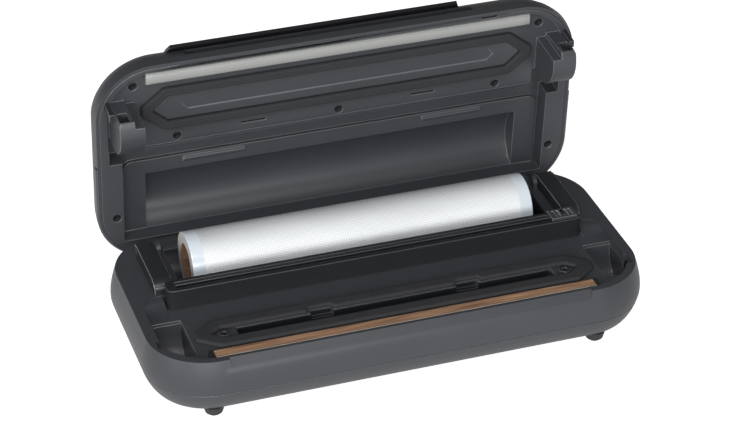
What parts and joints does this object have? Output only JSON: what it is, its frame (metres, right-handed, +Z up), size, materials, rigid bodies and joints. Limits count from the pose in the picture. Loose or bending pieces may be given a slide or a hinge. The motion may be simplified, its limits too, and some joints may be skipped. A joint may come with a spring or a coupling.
{
  "type": "vacuum sealer",
  "caption": "Low countertop vacuum sealer with rounded corners, lid open, showing a foam-ringed drip trough, a sealing strip, a sliding bag cutter and a bag roll.",
  "frame": {"origin": "middle of the base's flat underside, between the feet, which reach 8 mm below it", "axes": "+X along the length, to the right of someone at the front; +Y from the front towards the hinge at the rear; +Z up"},
  "size_m": [0.4002, 0.2384, 0.2143],
  "materials": {
    "housing_plastic": "fine satin texture",
    "cover_plastic": "fine satin texture",
    "panel_plastic": "satin",
    "foot_rubber": "dull",
    "screw_steel": "zinc plated",
    "lid_screw_steel": "black zinc",
    "black_plastic": "satin black",
    "dark_trim": "satin",
    "arm_plastic": "satin",
    "heater_metal": "bright ribbon",
    "ptfe_tape": "glossy woven tape",
    "lower_foam": "closed-cell foam",
    "upper_foam": "closed-cell foam",
    "hose_silicone": "milky",
    "pump_plastic": "moulded",
    "motor_steel": "drawn can",
    "bracket_plastic": "moulded",
    "core_steel": "stacked plates",
    "coil_copper": "varnished winding",
    "board_green": "printed circuit board",
    "pin_steel": "ground",
    "bag_film": "embossed translucent film",
    "cardboard": "wound paper board",
    "grip_plastic": "ribbed",
    "blade_steel": "ground edge",
    "strip_silicone": "smooth",
    "control_gloss": "gloss black",
    "window_gloss": "smoked",
    "key_plastic": "satin keys"
  },
  "bodies": {
    "base": {"base_housing": "housing_plastic", "working_deck": "housing_plastic", "latch_cup_left": "housing_plastic", "latch_cup_right": "housing_plastic", "roll_cradle": "black_plastic", "bottom_cover": "cover_plastic", "feet": "foot_rubber", "cover_screws": "screw_steel", "seal_carrier": "black_plastic", "heating_wire": "heater_metal", "seal_tape": "ptfe_tape", "lower_gasket": "lower_foam", "drip_tray": "black_plastic", "vacuum_ports": "dark_trim", "vacuum_hose": "hose_silicone", "pump_body": "pump_plastic", "pump_motor": "motor_steel", "pump_bracket": "bracket_plastic", "pressure_switch": "dark_trim", "transformer_core": "core_steel", "transformer_coil": "coil_copper", "power_board": "board_green", "power_board_parts": "dark_trim", "power_inlet": "black_plastic", "inlet_pins": "heater_metal", "lid_hinge_pins": "pin_steel", "cutter_pivot_pins": "pin_steel"},
    "lid": {"lid_shell": "housing_plastic", "lid_panel": "panel_plastic", "lid_hinge_left": "dark_trim", "lid_hinge_right": "dark_trim", "upper_gasket": "upper_foam", "pressure_strip": "strip_silicone", "latch_hook_left": "dark_trim", "latch_hook_right": "dark_trim", "lid_screws": "lid_screw_steel", "control_panel": "control_gloss", "status_window": "window_gloss", "control_board": "board_green"},
    "cutter_frame": {"cutter_bar": "black_plastic", "cutter_rail": "dark_trim", "cutter_arm_left": "arm_plastic", "cutter_arm_right": "arm_plastic"},
    "cutter": {"cutter_grip": "grip_plastic", "cutter_blade": "blade_steel"},
    "roll": {"bag_film": "bag_film", "roll_core": "cardboard"},
    "key_seal_body": {"key_seal": "key_plastic"},
    "key_vacuum_body": {"key_vacuum": "key_plastic"},
    "key_pulse_body": {"key_pulse": "key_plastic"},
    "key_stop_body": {"key_stop": "key_plastic"}
  },
  "joints": [
    {"name": "lid_hinge", "type": "hinge", "parent": "base", "child": "lid", "pos_m": [0, 0.0822, 0.0307], "axis": [-1, 0, 0], "range_deg": [-84.7, 0]},
    {"name": "cutter_lift", "type": "hinge", "parent": "base", "child": "cutter_frame", "pos_m": [0, 0.066, 0.0512], "axis": [-1, 0, 0], "range_deg": [0, 8]},
    {"name": "cutter_slide", "type": "slide", "parent": "cutter_frame", "child": "cutter", "axis": [1, 0, 0], "range_m": [-0.299, 0]},
    {"name": "roll_spin", "type": "hinge", "parent": "base", "child": "roll", "pos_m": [0, 0.0461, 0.0461], "axis": [1, 0, 0], "continuous": true},
    {"name": "key_seal_press", "type": "slide", "parent": "lid", "child": "key_seal_body", "axis": [0, -0.7738, -0.6334], "range_m": [0, 0.0008], "stiffness_N_per_m": 600, "springref_m": -0.001},
    {"name": "key_vacuum_press", "type": "slide", "parent": "lid", "child": "key_vacuum_body", "axis": [0, -0.7738, -0.6334], "range_m": [0, 0.0008], "stiffness_N_per_m": 600, "springref_m": -0.001},
    {"name": "key_pulse_press", "type": "slide", "parent": "lid", "child": "key_pulse_body", "axis": [0, -0.7738, -0.6334], "range_m": [0, 0.0008], "stiffness_N_per_m": 600, "springref_m": -0.001},
    {"name": "key_stop_press", "type": "slide", "parent": "lid", "child": "key_stop_body", "axis": [0, -0.7738, -0.6334], "range_m": [0, 0.0008], "stiffness_N_per_m": 600, "springref_m": -0.001}
  ]
}
